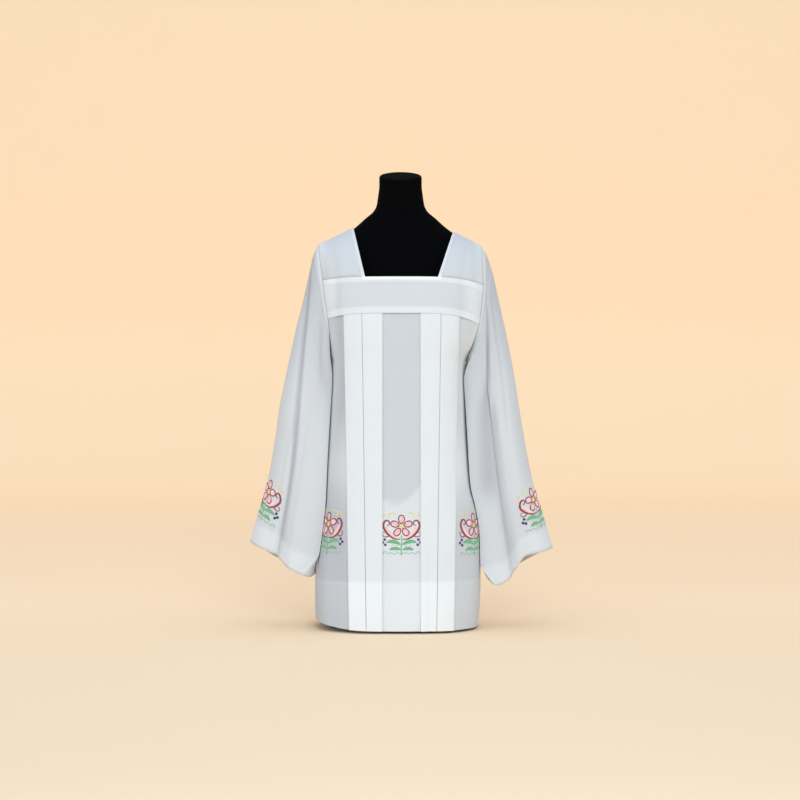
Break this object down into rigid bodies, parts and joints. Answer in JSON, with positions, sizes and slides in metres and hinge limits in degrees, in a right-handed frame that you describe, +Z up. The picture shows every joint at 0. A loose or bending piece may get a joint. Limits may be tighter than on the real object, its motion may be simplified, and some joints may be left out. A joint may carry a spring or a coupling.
{
  "type": "surplice on a dress form",
  "caption": "White square-necked surplice with box pleats, wide sleeves and bright embroidered borders, worn on a black limbless dress form.",
  "frame": {"origin": "centre of the stand base's underside, on the floor", "axes": "+Z up, the garment's front faces -Y, the wearer's left is +X"},
  "size_m": [0.734, 0.3002, 1.1065],
  "materials": {
    "cloth": "white polyester and viscose plain weave, matte",
    "band": "white folded edge, matte",
    "form": "black cloth cover, matte",
    "stand": "black powder coat"
  },
  "bodies": {
    "root": {"front_yoke": "cloth", "back_yoke": "cloth", "shoulder_right": "cloth", "shoulder_left": "cloth", "front_skirt": "cloth", "back_skirt": "cloth", "sleeve_right": "cloth", "sleeve_left": "cloth", "neck_band": "band", "dress_form": "form", "stand_pole": "stand", "stand_base": "stand"}
  },
  "joints": []
}
